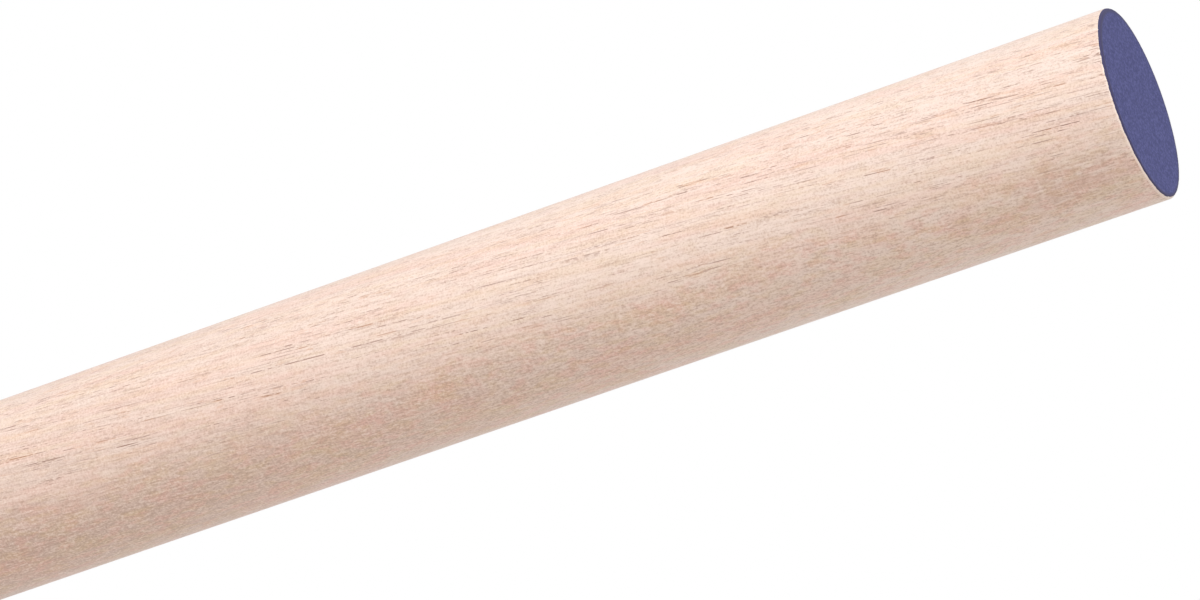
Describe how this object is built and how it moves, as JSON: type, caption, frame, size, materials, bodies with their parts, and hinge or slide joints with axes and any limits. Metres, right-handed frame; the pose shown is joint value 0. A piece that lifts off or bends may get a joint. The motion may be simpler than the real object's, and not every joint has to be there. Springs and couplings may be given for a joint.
{
  "type": "hardwood dowel rod",
  "caption": "Straight round hardwood dowel rod with square sawn ends, softly broken edges and one end painted violet-blue as a size code; used as stock, a rail, an axle or a handle.",
  "frame": {"origin": "middle of the bare sawn end, on the surface that the rod stands on", "axes": "+Z along the rod's axis, from the bare end up to the painted end; X and Y are any two directions across the round"},
  "size_m": [0.0254, 0.0254, 0.9146],
  "materials": {
    "bare_hardwood": "sanded, unfinished pale pinkish open-pored hardwood",
    "end_paint": "flat violet-blue paint, one thin coat on sawn end grain"
  },
  "bodies": {
    "root": {"dowel_rod": "bare_hardwood", "end_paint": "end_paint"}
  },
  "joints": []
}
